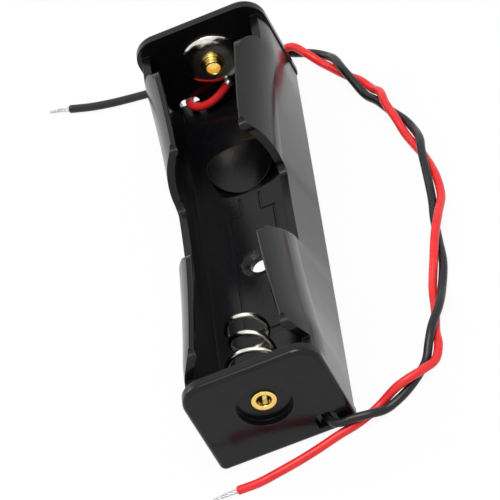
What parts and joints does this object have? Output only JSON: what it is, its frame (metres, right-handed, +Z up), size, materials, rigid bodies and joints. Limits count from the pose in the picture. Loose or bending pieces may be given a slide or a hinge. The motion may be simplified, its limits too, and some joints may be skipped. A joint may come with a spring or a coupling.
{
  "type": "cylindrical cell holder",
  "caption": "Open moulded trough for a round cell with curled gripping lobes, a spring contact, a riveted button contact and a twisted pair of leads.",
  "frame": {"origin": "middle of the case's underside", "axes": "+Z up, out of the open mouth; +Y along the length towards the button contact; +X across the width, towards the twisted leads"},
  "size_m": [0.0598, 0.0947, 0.0183],
  "materials": {
    "case_plastic": "semi-gloss moulded",
    "nickel": "nickel plated",
    "brass": "bright",
    "tin": "tinned",
    "red_insulation": "soft gloss",
    "black_insulation": "soft gloss"
  },
  "bodies": {
    "root": {"holder_case": "case_plastic", "positive_contact": "nickel", "positive_eyelet": "brass", "negative_spring": "nickel", "negative_eyelet": "brass", "positive_solder": "tin", "negative_solder": "tin", "red_lead": "red_insulation", "black_lead": "black_insulation", "red_lead_tip": "tin", "black_lead_tip": "tin"}
  },
  "joints": []
}
